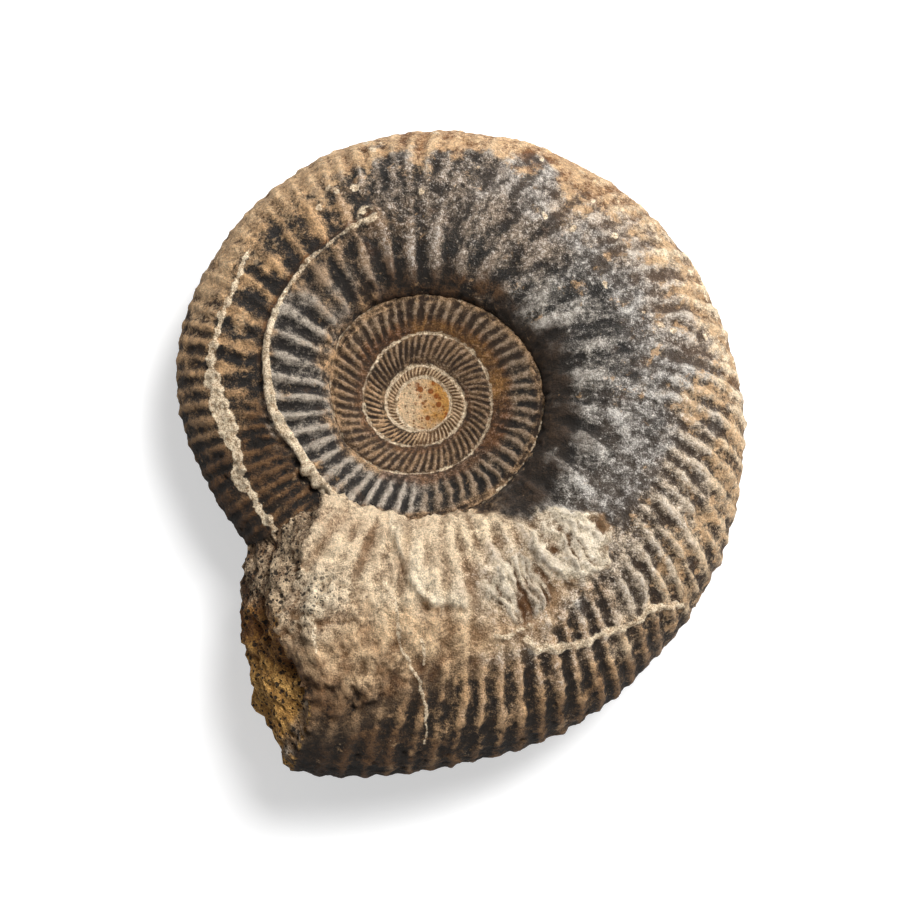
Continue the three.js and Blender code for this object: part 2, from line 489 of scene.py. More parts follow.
def along(points, value):
    # a value read off a short list of places and amounts
    return np.interp(value, *zip(*points))


def ribPhase(t):
    turns = np.linspace(-4.3, 0.12, 900)
    return np.interp(t, turns, np.cumsum(along(ribs["primaries"], turns)) * (turns[1] - turns[0]))


def ellipse(plan, spot, wobble):
    # distance from its centre as a share of the size, and the place in it
    at = polar(spot["at"])[0]
    out = at / np.linalg.norm(at)
    off = plan + wobble - at
    across = off @ np.array([-out[1], out[0]])
    outward = off @ out
    return np.hypot(across / spot["along"], outward / spot["out"]), off


def readSurface(skin):
    # what the relief is worked out from, for every vertex
    place = places(skin)
    s = SimpleNamespace(place=place, plan=place[:, :2], normal=places(skin, "normal"))
    s.t, s.x, s.share, s.side = (recall(skin, name) for name in ("turn", "across", "share", "side"))
    s.part = np.round(recall(skin, "part"))
    s.covered = (s.part == 0) & (s.t < -1)
    s.free = ((s.part == 0) & ~s.covered) | (s.part == 1)
    s.upper = (s.side > 0) & (s.part != 3)
    s.above = s.upper & s.free
    s.size = coil["growth"] ** np.clip(s.t, -4.2, 0)
    s.radius = np.hypot(place[:, 0], place[:, 1])
    s.angle = np.degrees(np.arctan2(place[:, 1], place[:, 0])) % 360
    s.broad = fractal(place, 14.0, 3)
    s.medium = fractal(place, 5.0, 11)
    s.fine = fractal(place, 1.7, 23)
    s.finest = fractal(place, 0.8, 29, 2)
    s.shift = np.stack([fractal(place, 4.0, 31), fractal(place, 4.0, 37)], axis=1)
    return s


def markCrust(s):
    tn = s.t + 0.006 * s.broad + 0.006 * s.medium
    xn = s.x + 0.05 * s.broad + 0.05 * s.medium
    start = crust["from"] - crust["tongue"] * hump(s.x - 0.36, 0.36)
    reach = crust["edge"] + 0.2 * smooth(-0.1, -0.03, tn)
    s.crusted = s.above * smooth(-0.01, 0.012, tn - start)
    s.crusted *= 1 - smooth(reach - 0.05, reach + 0.1, xn)


def ribStrength(s):
    # how strong the primary and the secondary ribs are in each place
    old = 1 - smooth(-0.72, -0.64, s.t)
    ends = mix(1 - smooth(0.26, 0.5, s.x), 1 - smooth(0.36, 0.46, s.x), old)
    starts = mix(smooth(0.5, 0.74, s.x), smooth(0.42, 0.52, s.x), old)
    onInner = smooth(0.05, 0.4, s.share) * (1 - smooth(0.86, 0.98, s.share))
    onFlank = smooth(0.02, 0.12, s.x) * ends * along(ribs["onFlank"], s.t)
    primary = np.where(s.covered, onInner, onFlank)
    primary *= np.clip(1 + np.where(s.covered, 0.35, 0.6) * s.broad + 0.5 * s.medium, 0.15, 1.6)
    secondary = np.where(s.covered, 0, starts * along(ribs["onMargin"], s.t))
    return primary, secondary * np.clip(1 + 0.35 * s.medium + 0.35 * s.broad, 0.3, 1.4)


def carveRibs(s):
    leanFree = along(ribs["lean"], s.t) * np.clip(s.x, 0, 1.2) ** 1.8
    s.lean = np.where(s.covered, along(ribs["innerLean"], s.t) * s.share, leanFree)
    jitter = 0.45 * s.medium + 0.6 * s.broad * (s.t > -1)
    jitter = jitter + s.covered * (0.5 * s.medium + 0.4 * s.fine)
    s.primary = 0.5 + 0.5 * np.cos(2 * np.pi * ribPhase(s.t - s.lean) + jitter)
    s.secondary = 0.5 + 0.5 * np.cos(2 * np.pi * ribs["secondaries"] * (s.t - s.lean) + jitter)
    primaryHere, secondaryHere = ribStrength(s)
    worn = 1 - 0.6 * smooth(0.86, 1.0, s.x)
    bare = 1 - 0.7 * s.crusted
    s.lift = ribs["primaryHeight"] * np.where(s.covered, s.size**0.75, s.size**0.5) * bare
    s.lift *= primaryHere * (s.primary**1.3 - 0.45)
    s.lift += ribs["secondaryHeight"] * s.size**0.5 * secondaryHere * (s.secondary**1.2 - 0.5) * bare * worn
    s.lift = np.where(s.part >= 2, 0, s.lift)
    # the relief says where the colours of furrow and crest go: darker in the furrows and paler on the crests,
    # partly the stone's own colour and partly painted shade in the furrows and painted highlight on the
    # crests
    flank = s.free * band(s.t, -0.64, -0.2, 0.03) * band(s.x, 0.12, 0.8, 0.1)
    sharp = 1.6 + 1.4 * smooth(-0.32, -0.2, s.t) * smooth(0.55, 0.7, s.x)
    crests = np.where(secondaryHere > primaryHere, s.secondary**sharp, s.primary**1.8)
    s.relief = mix(0.4 - 0.05 * flank, crests, np.clip(primaryHere + secondaryHere, 0, 1))


def scratchAlongRibs(s):
    downRibs = np.where(s.covered, s.share * 2, s.x * 6)
    streak = fractal(np.stack([(s.t - s.lean) * 190, downRibs, s.side], axis=1), 1.0, 43)
    s.texture = 0.42 * s.fine + 0.3 * s.finest + 0.42 * streak
    s.relief += np.where(s.covered, 0.35, 0.55) * s.texture * (1 - 0.5 * s.crusted)
    s.relief += 0.22 * s.medium * s.free


def netRelief(s):
    # a net of low ridges on the older flank
    cells = s.above * band(s.t, -0.84, -0.64, 0.02) * band(s.x, 0.44, 0.76, 0.04)
    netted = -0.1 + 0.9 * s.primary**2 + 0.5 * s.medium + 0.3 * s.fine
    s.relief = mix(s.relief, netted, cells)
    s.lift += 0.8 * cells * (np.clip(netted, 0, 1) - 0.5)


def fillSeams(s):
    # a thin bead of sediment in each seam, and a folded band beside the outer one
    height = np.abs(s.place[:, 2])
    inner = np.maximum(s.t, coreTurn)
    seamIn = np.hypot(s.radius - seamAt(inner), height - seamHeightAt(inner))
    seamOut = np.hypot(s.radius - seamAt(s.t + 1), height - seamHeightAt(s.t + 1))
    gap = np.where(s.covered, np.minimum(seamIn, seamOut), seamIn) + 0.25 * s.fine * s.size**0.5
    bead = hump(gap, np.where(s.covered, *seams["half"]) * s.size**0.4) * (s.part < 2)
    s.lift += seams["height"] * s.size**0.5 * bead**1.5 * (0.8 + 0.5 * s.fine)
    limy = along(seams["lime"], s.t)
    nearWall = hump(seamOut, 2.2) * s.covered * (s.t > -1.9)
    limy = mix(limy, along(seams["wallLime"], s.t), nearWall > 0)
    s.lime = bead**0.6 * limy * np.clip(0.9 + 0.35 * s.broad + 0.4 * s.medium, 0.2, 1.1)

    flange = smooth(0.1, 0.5, hump(seamOut + 0.5 * s.medium, seams["flange"]))
    s.flange = flange * s.covered * smooth(-1.95, -1.85, s.t)
    folded = 0.5 + 0.5 * np.cos(2 * np.pi * seamOut / seams["fold"])
    s.lift += 0.3 * s.flange * (0.3 + folded)
    s.relief = mix(s.relief, 0.25 + 0.45 * folded + 0.3 * s.fine + 0.2 * s.medium, 0.85 * s.flange)


def inStretch(s, ridge):
    faded = smooth(*ridge["starts"], s.angle) * (1 - smooth(*ridge["ends"], s.angle))
    return s.above * faded * (s.t < -0.5)


def raiseRim(s):
    # the rim of the lost whorl, the groove outside it and the ring at its upper end
    beyond = s.radius - along(rim["points"], s.angle) + 0.22 * s.shift[:, 0]
    inRange = inStretch(s, rim)
    wide = along(rim["half"], s.angle) * (1 + 0.25 * s.medium)
    strip = (1 - smooth(0.55, 1.15, np.abs(beyond) / wide)) * inRange
    s.lift += rim["height"] * strip * (0.9 + 0.25 * s.fine)
    s.lift -= along(rim["groove"], s.angle) * hump(beyond - wide - 0.8, 1.3) * inRange
    s.rusty = hump(beyond - wide - 0.3, 1.0) * inRange * (1 - smooth(150, 185, s.angle))
    s.lime = np.maximum(s.lime, strip * along(rim["lime"], s.angle))
    gap = np.linalg.norm(s.plan - polar(knob["at"]), axis=1) + 0.3 * s.medium
    ring = hump(gap - knob["size"], knob["wide"]) * s.above
    s.lift += knob["height"] * ring
    s.lime = np.maximum(s.lime, (0.62 + 0.25 * s.medium) * ring)


def raiseStep(s):
    # the end of the outer shell
    beyond = s.radius - along(step["points"], s.angle) + 0.5 * s.shift[:, 1]
    inRange = inStretch(s, step)
    toothed = along(step["inner"], s.angle) + 0.7 * s.secondary - 0.3 + 0.6 * s.medium + 0.35 * s.fine
    outside = beyond - along(step["outer"], s.angle) + 1.1 * s.medium + 0.5 * s.fine
    strip = smooth(-0.4, 0.3, beyond + toothed) * (1 - smooth(-0.5, 0.6, outside))
    shelf = smooth(-0.6, 0.2, beyond + toothed * 0.7) * (1 - smooth(2.0, 7.0, beyond))
    s.lift += step["height"] * shelf * inRange
    s.lift += 0.3 * s.fine * strip * inRange
    s.lime = np.maximum(s.lime, strip * inRange)


def layCrust(s):
    swells = np.cos(2 * np.pi * crust["swells"] * (s.t - 0.3 * s.lean) + 0.8 * s.broad)
    swells *= smooth(0.02, 0.12, s.x) * (1 - smooth(0.5, 0.62, s.x))
    bumpy = smooth(-0.1, -0.04, s.t) * smooth(0.25, 0.4, s.x)
    strokes = fractal(np.stack([(s.t - 0.3 * s.lean) * 75, s.x * 4, s.side], axis=1), 1.0, 47)
    rough = 0.6 * s.medium + 0.35 * s.fine + 0.3 * s.broad
    s.lift += s.crusted * (crust["thick"] + rough + 0.4 * swells + 0.35 * strokes)
    s.lift += s.crusted * bumpy * (0.7 * s.medium + 0.6 * s.fine)
    s.relief += 0.3 * s.crusted * strokes
    pale = 0.22 + 0.35 * swells * (1 - bumpy) + 0.3 * s.fine * bumpy + 0.2 * s.medium
    s.relief = np.where(s.part < 2, s.relief + s.crusted * pale, s.relief)


def addLinesAndSpots(s):
    for line in lines.values():
        gap = lineDistance(s.plan + line["wobble"] * s.shift, line["points"])[0]
        strip = hump(gap, line["half"] * (1 + 0.25 * s.medium)) * s.above
        s.lift += line["height"] * strip * (0.9 + 0.3 * s.fine)
        s.lime = np.maximum(s.lime, line["lime"] * strip**0.7)
    for spot in spots.values():
        gap = np.linalg.norm(s.plan + 0.5 * s.shift - polar(spot["at"]), axis=1)
        s.lift += spot["height"] * hump(gap, spot["size"]) * s.upper


def growOyster(s):
    # the encrusting shell: a raised patch with a thick lip and a few folds
    gap, off = ellipse(s.plan, oyster, 1.7 * s.shift)
    s.patch = (1 - smooth(0.9, 1.02, gap)) * s.above
    s.lip = hump(gap - 0.86, 0.17) * s.above
    run = math.radians(oyster["run"])
    across = off[:, 0] * math.cos(run) + off[:, 1] * math.sin(run)
    folds = np.abs(np.sin(np.pi * across / oyster["folds"])) - 0.65
    inside = smooth(-4, 1, off[:, 0]) * (1 - smooth(0.55, 0.75, gap)) * s.above
    hollow = hump(np.linalg.norm(off - np.array(oyster["hollow"]), axis=1), 3.2) * s.above
    s.lift += oyster["height"] * s.patch * (0.55 + 0.3 * s.medium) + 0.7 * s.lip
    s.lift += 1.3 * inside * folds - 1.2 * hollow + 0.4 * s.patch * s.fine
    s.relief += 1.3 * inside * folds - 0.6 * hollow + (0.28 + 0.3 * s.medium) * s.patch


def addStriae(s):
    # fine ridges beside it, that end at a step
    gap, off = ellipse(s.plan, striae, 1.3 * s.shift)
    run = math.radians(striae["run"])
    across = off[:, 1] * math.cos(run) - off[:, 0] * math.sin(run)
    scored = (1 - smooth(0.82, 1.0, gap)) * s.above * (1 - s.patch)
    comb = np.abs(np.sin(np.pi * across / striae["spacing"] + 0.6 * s.medium)) - 0.65
    s.lift += striae["height"] * scored * (0.5 + 1.2 * comb) + 0.5 * scored * s.fine
    s.relief += scored * (0.1 + 0.8 * comb)
    s.patch = np.maximum(s.patch, scored)


def raiseFlake(s):
    # a flake of shell that stands up along one edge
    gap, left = lineDistance(s.plan + 0.4 * s.shift, flake["points"])
    s.ledge = s.above * np.where(left < 0, 0, 1 - smooth(0, flake["fade"], gap))
    s.lift += flake["step"] * s.ledge * smooth(0, 0.6, gap) - 1.1 * hump(left + 0.7, 1.3) * s.above


def roughenBreak(s):
    # rough, spongy rock on the broken face and round it
    broken = (s.part == 2).astype(float)
    nearBreak = np.linalg.norm(s.plan - polar(sponge["at"]), axis=1)
    s.spongy = np.maximum(broken, s.upper * hump(nearBreak, sponge["reach"]))
    gap, own = scatter(s.place, sponge["spacing"], 71)
    holes = hump(gap, 0.42) * (own > 0.45)
    s.lift += broken * (1.5 * s.medium + 0.5 * s.broad)
    s.lift += s.spongy * (0.75 * s.fine + 0.3 * s.finest - sponge["depth"] * holes)


def dropCrumbs(s):
    # crumbs of sediment left on the shell, most of them well out on the flank
    gap, own = scatter(s.place + 0.5 * s.fine[:, None], crumbs["spacing"], 83)
    many = band(s.t, -0.7, -0.34, 0.03) * band(s.x, 0.5, 0.95, 0.1)
    crumb = hump(gap, crumbs["size"]) * (own > 1 - crumbs["share"] * many) * s.above
    s.lift += crumbs["height"] * crumb
    s.lime = np.maximum(s.lime, smooth(0.1, 0.5, crumb))


def wearAway(s):
    # worn, pitted surface everywhere
    gap, own = scatter(s.place, 3.0, 51)
    plain = (s.part < 2) * np.where(s.covered, 0.4, 1.0)
    s.lift += plain * ((0.35 * s.broad + 0.36 * s.texture) * s.size**0.3 + 0.35 * s.medium + 0.1 * s.fine)
    s.lift -= plain * 0.7 * hump(gap, 0.3) * (own > 0.6)


def shapeRelief(skin):
    # moves every vertex along its normal, and keeps what the colours need
    s = readSurface(skin)
    stages = (markCrust, carveRibs, scratchAlongRibs, netRelief, fillSeams, raiseRim, raiseStep, layCrust,
              addLinesAndSpots, growOyster, addStriae, raiseFlake, roughenBreak, dropCrumbs, wearAway)
    for stage in stages:
        stage(s)
    moved = s.place + s.normal * s.lift[:, None]
    # the thick crust hangs out over the broken face
    gap = np.linalg.norm(s.plan + 0.5 * s.shift - polar(overhang["at"]), axis=1)
    over = overhang["reach"] * hump(gap, overhang["size"]) * (s.side > 0) * smooth(6, 14, s.place[:, 2])
    moved[:, :2] += over[:, None] * np.array(overhang["towards"])
    skin.vertices.foreach_set("co", moved.astype(np.float32).ravel())
    skin.update()
    for name in ("relief", "lime", "crusted", "patch", "lip", "ledge", "spongy", "rusty", "flange"):
        store(skin, name, np.clip(getattr(s, name), 0, 1))
    print("relief: from", round(float(s.lift.min()), 2), "to", round(float(s.lift.max()), 2), "mm")


def thin(skin):
    # fewer triangles where the surface is plain
    piece = addObject("thinning", skin)
    triangles = sum(len(face.vertices) - 2 for face in skin.polygons)
    modifier = piece.modifiers.new("fewerFaces", "DECIMATE")
    modifier.ratio = min(1, mesh["faces"] / triangles)
    modifier.use_collapse_triangulate = True
    graph = bpy.context.evaluated_depsgraph_get()
    thinned = bpy.data.meshes.new_from_object(piece.evaluated_get(graph))
    bpy.data.objects.remove(piece)
    print("thinned:", triangles, "to", len(thinned.polygons), "triangles")
    return thinned


def layDown(skin, base):
    # tips the coil on to the table, in the place of the CAD solid
    roll, tilt = math.radians(coil["roll"]), math.radians(coil["tilt"])
    turnOver = np.array(Matrix.Rotation(roll, 3, "Y") @ Matrix.Rotation(tilt, 3, "X")).T * mm
    turned = base @ turnOver
    low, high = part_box("ammonite")
    middle = (turned.min(0) + turned.max(0)) / 2
    target = (np.array(low) + np.array(high)) / 2
    shift = np.array([target[0] - middle[0], target[1] - middle[1], high.z - turned[:, 2].max()])
    place = places(skin) @ turnOver + shift
    place[:, 2] = np.maximum(place[:, 2], low.z)
    skin.vertices.foreach_set("co", place.astype(np.float32).ravel())
    skin.update()
    print("placed, moved by", [round(float(v) / mm, 2) for v in shift], "mm")


# Colours
tints = {
    "black": (30, 25, 20),
    "charcoal": (38, 34, 31),
    "slate": (146, 138, 128),
    # black-brown, used for the stone's own darkest brown and for painted shade
    "blackBrownAndShade": (34, 25, 16),
    "umber": (56, 39, 24),
    "brown": (106, 74, 44),
    "dun": (146, 115, 82),
    "tan": (196, 157, 114),
    "sand": (220, 188, 148),
    "cream": (236, 218, 188),
    "beige": (214, 188, 154),
    "greige": (144, 120, 94),
    "mauve": (92, 80, 69),
    "ochre": (232, 184, 108),
    "ochreDeep": (186, 134, 66),
    "orange": (140, 74, 20),
    "rust": (126, 80, 40),
    "ash": (176, 166, 152),
    "pearl": (206, 200, 192),
}

# painted in this order: turns from and to, across from and to, furrow, crest and amount
outerZones = [
    (-1.1, 0.1, -1, 2, "umber", "tan", 1.0),
    # on the dark flank the slate, ash and pearl crests are partly the shell's own grey, partly painted
    # highlight on the rib crests
    (-0.66, -0.13, 0.0, 0.84, "charcoal", "slate", 1.0),
    (-0.56, -0.16, 0.16, 0.4, "black", "ash", 0.6),
    (-0.6, -0.46, 0.3, 0.8, "umber", "ash", 0.6),
    (-0.32, -0.14, 0.2, 0.86, "mauve", "pearl", 0.6),
    (-0.64, -0.46, 0.1, 0.76, "black", "dun", 0.55),
    (-0.54, -0.26, 0.5, 0.86, "mauve", "pearl", 0.6),
    (-0.5, -0.36, 0.62, 0.9, "brown", "sand", 0.35),
    (-0.33, -0.14, 0.56, 0.92, "umber", "beige", 0.75),
    (-0.76, -0.45, 0.82, 2, "rust", "sand", 0.95),
    (-0.47, -0.3, 0.86, 2, "brown", "cream", 0.9),
    (-0.34, -0.18, 0.8, 2, "umber", "beige", 0.9),
    # darker along the bottom margin: partly the shell's own dark brown, partly painted shade on the side
    # turned down from the light
    (-0.19, -0.08, 0.62, 2, "blackBrownAndShade", "tan", 0.9),
    (-0.09, 0.1, 0.6, 2, "blackBrownAndShade", "brown", 0.95),
    (-0.26, 0.1, 0.9, 2, "blackBrownAndShade", "brown", 0.75),
    (-0.05, 0.1, 0.74, 2, "blackBrownAndShade", "umber", 0.9),
    (-1.02, -0.67, 0.0, 0.4, "charcoal", "ash", 0.9),
    (-0.74, -0.6, 0.16, 0.45, "black", "dun", 0.8),
    (-1.02, -0.8, 0.4, 0.72, "black", "brown", 0.95),
    (-0.84, -0.64, 0.4, 0.8, "charcoal", "tan", 0.95),
    (-1.1, -0.86, 0.72, 2, "blackBrownAndShade", "brown", 1.0),
    (-1.1, -0.92, 0.84, 2, "blackBrownAndShade", "umber", 0.6),
    (-0.88, -0.8, 0.74, 2, "blackBrownAndShade", "dun", 0.9),
    (-0.82, -0.7, 0.8, 2, "umber", "tan", 0.85),
    (-0.76, -0.6, 0.84, 2, "brown", "sand", 0.8),
    # painted shade: near black on the umbilical wall across the top and right, the side that faces away from
    # the light
    (-0.64, -0.18, -1, 0.13, "blackBrownAndShade", "umber", 0.95),
    (-0.7, -0.48, -1, 0.13, "blackBrownAndShade", "brown", 0.75),
    (-1.0, -0.66, -1, 0.05, "umber", "tan", 0.8),
]
innerZones = [
    (-5, -0.9, -1, 2, "umber", "tan", 1.0),
    (-1.12, -0.9, -1, 2, "charcoal", "ash", 0.9),
    (-1.42, -1.08, -1, 2, "black", "greige", 0.95),
    (-1.75, -1.38, 0.4, 2, "umber", "greige", 0.8),
    (-1.75, -1.24, -1, 0.4, "umber", "rust", 0.95),
    (-2.16, -1.75, -1, 2, "umber", "dun", 0.85),
    (-2.8, -2.15, -1, 2, "umber", "dun", 0.9),
    (-3.1, -2.8, -1, 2, "umber", "tan", 0.7),
    (-5, -3.05, -1, 2, "brown", "sand", 0.9),
    (-2.2, -0.9, 0.9, 2, "umber", "brown", 0.8),
    (-2.4, -0.9, -1, 0.24, "umber", "rust", 0.75),
    (-1.62, -1.32, -1, 0.32, "brown", "ochreDeep", 0.6),
]


def linear(tint):
    rgb = np.array(tints[tint]) / 255
    return np.where(rgb <= 0.04045, rgb / 12.92, ((rgb + 0.055) / 1.055) ** 2.4)


def paint(skin, place):
    t, x, share = recall(skin, "turn"), recall(skin, "across"), recall(skin, "share")
    part = np.round(recall(skin, "part"))
    covered = ((part == 0) & (t < -1)).astype(float)
    free = (part < 2) * (1 - covered)
    broad = fractal(place, 11.0, 103)
    medium = fractal(place, 3.6, 111)
    small = fractal(place, 1.2, 127)
    tn = t + 0.02 * broad + 0.012 * medium + 0.004 * small
    xn = np.where(covered > 0, share, x) + 0.07 * broad + 0.07 * medium + 0.03 * small
    furrow = np.tile(linear("umber"), (len(t), 1))
    crest = np.tile(linear("tan"), (len(t), 1))
    for here, zones in ((free, outerZones), (covered, innerZones)):
        for turnFrom, turnTo, acrossFrom, acrossTo, low, high, amount in zones:
            mask = here * amount * band(tn, turnFrom, turnTo, 0.02) * band(xn, acrossFrom, acrossTo, 0.06)
            furrow = mix(furrow, linear(low), mask[:, None])
            crest = mix(crest, linear(high), mask[:, None])
    crusted, patch = recall(skin, "crusted"), recall(skin, "patch")
    lower = crusted * smooth(0.54, 0.68, xn)
    layers = [
        (crusted, "dun", "sand"),
        (0.9 * lower, "umber", "dun"),
        # the same near black at the bottom edge of the crust: partly its own colour, partly painted shade
        (crusted * smooth(0.66, 0.82, xn) * smooth(-0.09, -0.05, tn), "blackBrownAndShade", "brown"),
        (crusted * (1 - smooth(0.36, 0.5, xn)) * 0.55, "greige", "cream"),
        (patch, "brown", "cream"),
        (recall(skin, "ledge"), "beige", "cream"),
        (recall(skin, "lip"), "dun", "cream"),
        (0.9 * recall(skin, "rusty"), "umber", "rust"),
        (0.85 * recall(skin, "flange"), "umber", "tan"),
        (recall(skin, "spongy") * (part < 2) * 0.9, "dun", "cream"),
    ]
    # the broken face: grey and spongy near the axis, ochre further out
    radius = np.hypot(place[:, 0], place[:, 1])
    ochre = (part == 2) * smooth(60, 66, radius + 2 * broad + 2 * medium)
    outer = (part == 2) * smooth(70, 77, radius + 2 * broad + 2 * medium)
    shell = (part == 2) * band(share + 0.012 * medium, 0.012, 0.075, 0.012) * band(x, 0.55, 0.93, 0.04)
    layers += [
        ((part == 2) * 1.0, "brown", "beige"),
        (ochre, "rust", "ochreDeep"),
        (outer, "ochreDeep", "ochre"),
        (shell, "dun", "ash"),
    ]
    for mask, low, high in layers:
        furrow = mix(furrow, linear(low), mask[:, None])
        crest = mix(crest, linear(high), mask[:, None])
    store(skin, "furrowTint", furrow)
    store(skin, "crestTint", crest)
    edge = band(tn, -0.78, -0.2, 0.03) * smooth(0.5, 0.9, xn)
    upperLeft = band(tn, -0.8, -0.62, 0.03) * smooth(0.35, 0.5, xn)
    specks = free * (0.1 + 0.34 * edge + 0.12 * upperLeft + 0.2 * medium + 0.1 * broad) * (1 - 0.7 * crusted)
    store(skin, "specks", np.clip(specks + 0.1 * covered, 0, 1))
    # the ooids lie on the right of the plug: 0.3 on its left to 1 on its right
    store(skin, "core", (part == 3) * np.clip(0.62 + place[:, 0] / 14, 0.3, 1))
    dark = np.maximum(free * band(tn, -0.66, -0.13, 0.03) * band(xn, 0.16, 0.78, 0.06), covered * 0.3)
    store(skin, "dark", np.clip(dark, 0, 1))
    print("painted", len(outerZones) + len(innerZones), "zones")


# Shader
def addNode(tree, kind, **values):
    # nodes stand in rows, in the order in which they are made
    node = tree.nodes.new(kind if kind.startswith("NodeGroup") else "ShaderNode" + kind)
    row, column = divmod(len(tree.nodes) - 1, 9)
    node.location = (220 * column, -300 * row)
    for name, value in values.items():
        setattr(node, name, value)
    return node


def plugIn(tree, source, socket):
    # source is another node's output or a plain value
    if isinstance(source, bpy.types.NodeSocket):
        tree.links.new(source, socket)
    else:
        socket.default_value = source


def addMath(tree, operation, *sources):
    node = addNode(tree, "Math", operation=operation)
    for source, socket in zip(sources, node.inputs):
        plugIn(tree, source, socket)
    return node.outputs[0]


def addTimes(tree, a, b):
    return addMath(tree, "MULTIPLY", a, b)


def addSum(tree, value, share, base):
    # base plus a share of value
    return addMath(tree, "MULTIPLY_ADD", value, share, base)


def addMix(tree, factor, a, b, blend="MIX"):
    node = addNode(tree, "Mix", data_type="RGBA", blend_type=blend, clamp_factor=True)
    for source, socket in zip((factor, a, b), (node.inputs["Factor"], node.inputs[6], node.inputs[7])):
        plugIn(tree, source, socket)
    return node.outputs[2]


def addRange(tree, value, low, high, toLow=0.0, toHigh=1.0, kind="SMOOTHSTEP"):
    node = addNode(tree, "MapRange", interpolation_type=kind)
    for label, source in (("Value", value), ("From Min", low), ("From Max", high)):
        plugIn(tree, source, node.inputs[label])
    node.inputs["To Min"].default_value = toLow
    node.inputs["To Max"].default_value = toHigh
    return node.outputs["Result"]


def addNoise(tree, vector, scale, detail, roughness):
    node = addNode(tree, "TexNoise")
    for label, source in (("Vector", vector), ("Scale", scale), ("Detail", detail), ("Roughness", roughness)):
        plugIn(tree, source, node.inputs[label])
    return node.outputs["Fac"]


def rgba(tint):
    return (*(float(v) for v in linear(tint)), 1.0)


def newGroup(name, settings, outputs):
    group = bpy.data.node_groups.new(name, "ShaderNodeTree")
    group.interface.new_socket("Vector", in_out="INPUT", socket_type="NodeSocketVector")
    for label, value in settings.items():
        group.interface.new_socket(label, in_out="INPUT", socket_type="NodeSocketFloat").default_value = value
    for label in outputs:
        group.interface.new_socket(label, in_out="OUTPUT", socket_type="NodeSocketFloat")
    return group, addNode(group, "NodeGroupInput").outputs, addNode(group, "NodeGroupOutput").inputs


def makeRaggedGroup():
    # turns a soft mask into one with a ragged, crisp edge
    settings = {"Mask": 0.0, "Scale": 900.0, "Ragged": 0.6, "Softness": 0.08}
    group, given, result = newGroup("raggedEdge", settings, ["Mask"])
    noise = addNoise(group, given["Vector"], given["Scale"], 5, 0.62)
    push = addTimes(group, addTimes(group, addMath(group, "SUBTRACT", noise, 0.5), given["Ragged"]), 2.2)
    low = addMath(group, "SUBTRACT", 0.5, given["Softness"])
    high = addMath(group, "ADD", 0.5, given["Softness"])
    plugIn(group, addRange(group, addMath(group, "ADD", given["Mask"], push), low, high), result["Mask"])
    return group


def makePoresGroup():
    # small round holes, a share of them left out
    settings = {"Scale": 700.0, "Size": 0.3, "Share": 0.5}
    group, given, result = newGroup("pores", settings, ["Mask"])
    cells = addNode(group, "TexVoronoi")
    plugIn(group, given["Vector"], cells.inputs["Vector"])
    plugIn(group, given["Scale"], cells.inputs["Scale"])
    split = addNode(group, "SeparateColor")
    plugIn(group, cells.outputs["Color"], split.inputs[0])
    edge = addMath(group, "ADD", addTimes(group, split.outputs[1], given["Size"]), 0.08)
    hole = addRange(group, cells.outputs["Distance"], addTimes(group, edge, 0.65), edge, 1.0, 0.0)
    kept = addMath(group, "LESS_THAN", split.outputs[0], given["Share"])
    plugIn(group, addTimes(group, hole, kept), result["Mask"])
    return group


def makeGrainGroup():
    # mottling at three sizes, 0.5 on average
    group, given, result = newGroup("stoneGrain", {}, ["Coarse", "Fine", "Height"])
    sizes = ((300, 4), (950, 5), (2700, 3))
    coarse, middle, fine = (addNoise(group, given["Vector"], scale, detail, 0.65) for scale, detail in sizes)
    both = addTimes(group, addMath(group, "ADD", middle, fine), 0.5)
    plugIn(group, coarse, result["Coarse"])
    plugIn(group, both, result["Fine"])
    plugIn(group, addSum(group, coarse, 0.5, both), result["Height"])
    return group


def placeGroup(tree, group, vector, **values):
    node = addNode(tree, "Group", node_tree=group)
    plugIn(tree, vector, node.inputs["Vector"])
    for label, value in values.items():
        plugIn(tree, value, node.inputs[label])
    return node.outputs


# how each marking is laid on the stone: sizes are scales of the pattern, so a bigger one is finer
markings = {
    "stain": {"Scale": 120, "Ragged": 1.0, "Softness": 0.3},
    "crustCrumbs": {"Scale": 900, "Size": 0.42, "Share": 0.35},
    "speck": {"Scale": 420, "Ragged": 0.8, "Softness": 0.12},
    "tinySpeck": {"Scale": 1500, "Ragged": 0.75, "Softness": 0.12},
    "lime": {"Scale": 900, "Ragged": 0.5, "Softness": 0.16},
    "hole": {"Scale": 760, "Size": 0.5, "Share": 0.62},
    "tinyHole": {"Scale": 1400, "Size": 0.5, "Share": 0.6},
    "ooid": {"Scale": 640, "Size": 0.62, "Share": 1.0},
    "plugCrumbs": {"Scale": 1500, "Size": 0.6, "Share": 0.45},
}


def readMaps(tree):
    # the masks and tints painted on the stone, and the grain
    maps = SimpleNamespace(place=addNode(tree, "TexCoord").outputs["Object"])
    for name in ("relief", "lime", "specks", "spongy", "core", "dark", "crusted"):
        setattr(maps, name, addNode(tree, "Attribute", attribute_name=name).outputs["Fac"])
    for name in ("furrowTint", "crestTint"):
        setattr(maps, name, addNode(tree, "Attribute", attribute_name=name).outputs["Color"])
    maps.coarse, maps.fine, maps.height = placeGroup(tree, makeGrainGroup(), maps.place)
    ragged, pores = makeRaggedGroup(), makePoresGroup()
    maps.marks = {}
    for name, values in markings.items():
        group = ragged if "Ragged" in values else pores
        maps.marks[name] = placeGroup(tree, group, maps.place, **values)[0]
    for name, mask in (("speck", maps.specks), ("tinySpeck", maps.specks), ("lime", maps.lime)):
        plugIn(tree, mask, maps.marks[name].node.inputs["Mask"])
    plugIn(tree, addTimes(tree, maps.crusted, 0.42), maps.marks["stain"].node.inputs["Mask"])
    return maps


